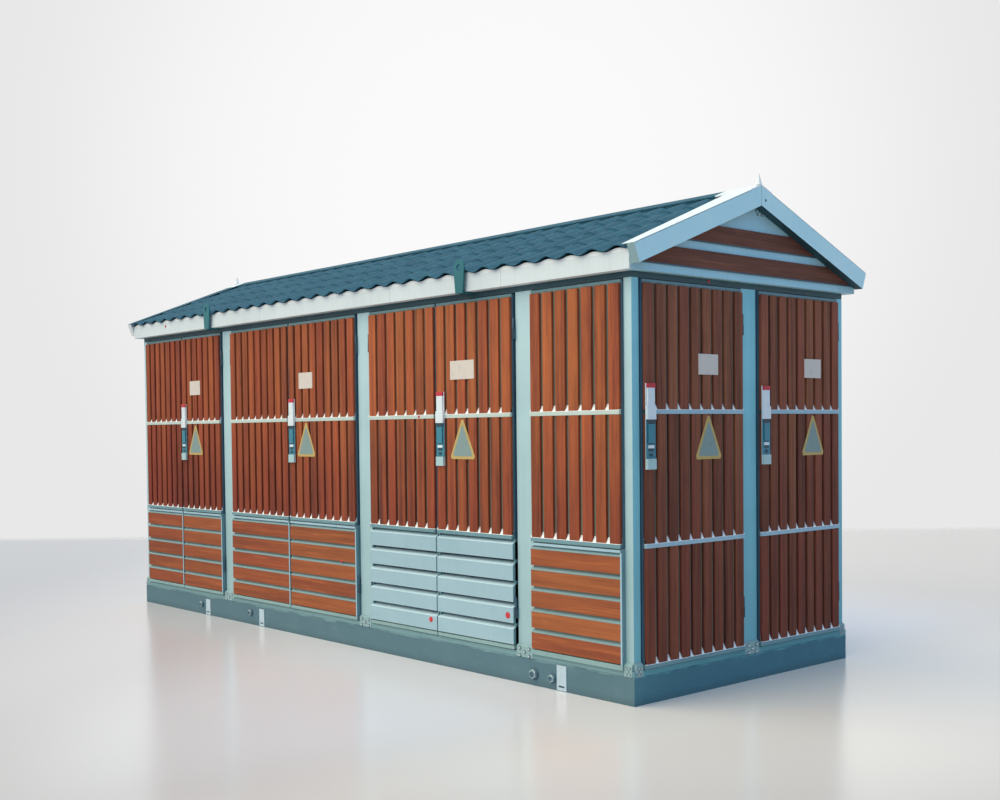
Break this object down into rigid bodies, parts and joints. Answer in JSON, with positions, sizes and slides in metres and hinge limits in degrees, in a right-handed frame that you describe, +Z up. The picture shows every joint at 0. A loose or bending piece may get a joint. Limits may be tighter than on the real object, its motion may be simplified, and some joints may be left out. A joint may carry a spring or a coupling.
{
  "type": "compact substation",
  "caption": "Walk-up compact substation housing: slatted wood-look doors and panels between steel posts, double and single swing doors, pitched tile-effect roof, on a plinth",
  "frame": {"origin": "the middle of the footprint at ground level, under the plinth", "axes": "+X runs along the long side towards the gable end with the two single doors, +Y runs from the long front with the double doors to the back, +Z is up"},
  "size_m": [6.3306, 2.3606, 3.1611],
  "materials": {
    "post_paint": "satin light grey-blue paint",
    "frame_paint": "satin dark teal paint",
    "white_paint": "satin white paint",
    "barge_paint": "satin light blue paint",
    "slat_wood": "matt red-brown wood slats on a metal tray",
    "roof_tile": "matt teal coated tile-effect sheet",
    "plinth_paint": "matt grey-blue paint",
    "floor_steel": "dull steel plate",
    "lock_paint": "satin off-white",
    "lug_paint": "satin teal paint"
  },
  "bodies": {
    "housing": {"back_panel_1": "slat_wood", "back_panel_2": "slat_wood", "back_panel_3": "slat_wood", "back_panel_4": "slat_wood", "back_post_1": "post_paint", "back_post_2": "post_paint", "back_post_3": "post_paint", "barge_left_left": "barge_paint", "barge_left_right": "barge_paint", "barge_right_left": "barge_paint", "barge_right_right": "barge_paint", "corner_post_back_left": "post_paint", "corner_post_back_right": "post_paint", "corner_post_front_left": "post_paint", "corner_post_front_right": "post_paint", "fascia_back": "white_paint", "fascia_front": "white_paint", "finial_left": "white_paint", "finial_right": "white_paint", "floor_plate": "floor_steel", "front_panel_4": "slat_wood", "front_post_1": "post_paint", "front_post_2": "post_paint", "front_post_3": "post_paint", "gable_left": "barge_paint", "gable_right": "barge_paint", "header_back": "frame_paint", "header_front": "frame_paint", "header_left": "frame_paint", "header_right": "frame_paint", "left_panel_1": "slat_wood", "left_panel_2": "slat_wood", "left_post": "post_paint", "lifting_lug_back_1": "lug_paint", "lifting_lug_back_2": "lug_paint", "lifting_lug_front_1": "lug_paint", "lifting_lug_front_2": "lug_paint", "plinth_back": "plinth_paint", "plinth_front": "plinth_paint", "plinth_left": "plinth_paint", "plinth_right": "plinth_paint", "ridge_cap": "white_paint", "right_post": "post_paint", "roof_sheet_back": "roof_tile", "roof_sheet_front": "roof_tile"},
    "front_door_1_left": {"front_door_1_left": "slat_wood"},
    "front_door_1_right": {"front_door_1_right": "slat_wood", "front_lock_1": "lock_paint"},
    "front_door_2_left": {"front_door_2_left": "slat_wood"},
    "front_door_2_right": {"front_door_2_right": "slat_wood", "front_lock_2": "lock_paint"},
    "front_door_3_left": {"front_door_3_left": "slat_wood"},
    "front_door_3_right": {"front_door_3_right": "slat_wood", "front_lock_3": "lock_paint"},
    "end_door_1": {"end_door_1": "slat_wood", "end_lock_1": "lock_paint"},
    "end_door_2": {"end_door_2": "slat_wood", "end_lock_2": "lock_paint"}
  },
  "joints": [
    {"name": "front_door_1_left_hinge", "type": "hinge", "parent": "housing", "child": "front_door_1_left", "pos_m": [-2.977, -1.087, 1.33], "axis": [0, 0, -1], "range_deg": [0, 90]},
    {"name": "front_door_1_right_hinge", "type": "hinge", "parent": "housing", "child": "front_door_1_right", "pos_m": [-1.581, -1.087, 1.33], "axis": [0, 0, 1], "range_deg": [0, 90]},
    {"name": "front_door_2_left_hinge", "type": "hinge", "parent": "housing", "child": "front_door_2_left", "pos_m": [-1.422, -1.087, 1.33], "axis": [0, 0, -1], "range_deg": [0, 90]},
    {"name": "front_door_2_right_hinge", "type": "hinge", "parent": "housing", "child": "front_door_2_right", "pos_m": [0.384, -1.087, 1.33], "axis": [0, 0, 1], "range_deg": [0, 90]},
    {"name": "front_door_3_left_hinge", "type": "hinge", "parent": "housing", "child": "front_door_3_left", "pos_m": [0.543, -1.087, 1.33], "axis": [0, 0, -1], "range_deg": [0, 90]},
    {"name": "front_door_3_right_hinge", "type": "hinge", "parent": "housing", "child": "front_door_3_right", "pos_m": [2.074, -1.087, 1.33], "axis": [0, 0, 1], "range_deg": [0, 90]},
    {"name": "end_door_1_hinge", "type": "hinge", "parent": "housing", "child": "end_door_1", "pos_m": [3.057, -0.0545, 1.33], "axis": [0, 0, 1], "range_deg": [0, 90]},
    {"name": "end_door_2_hinge", "type": "hinge", "parent": "housing", "child": "end_door_2", "pos_m": [3.057, 1.007, 1.33], "axis": [0, 0, 1], "range_deg": [0, 90]}
  ]
}
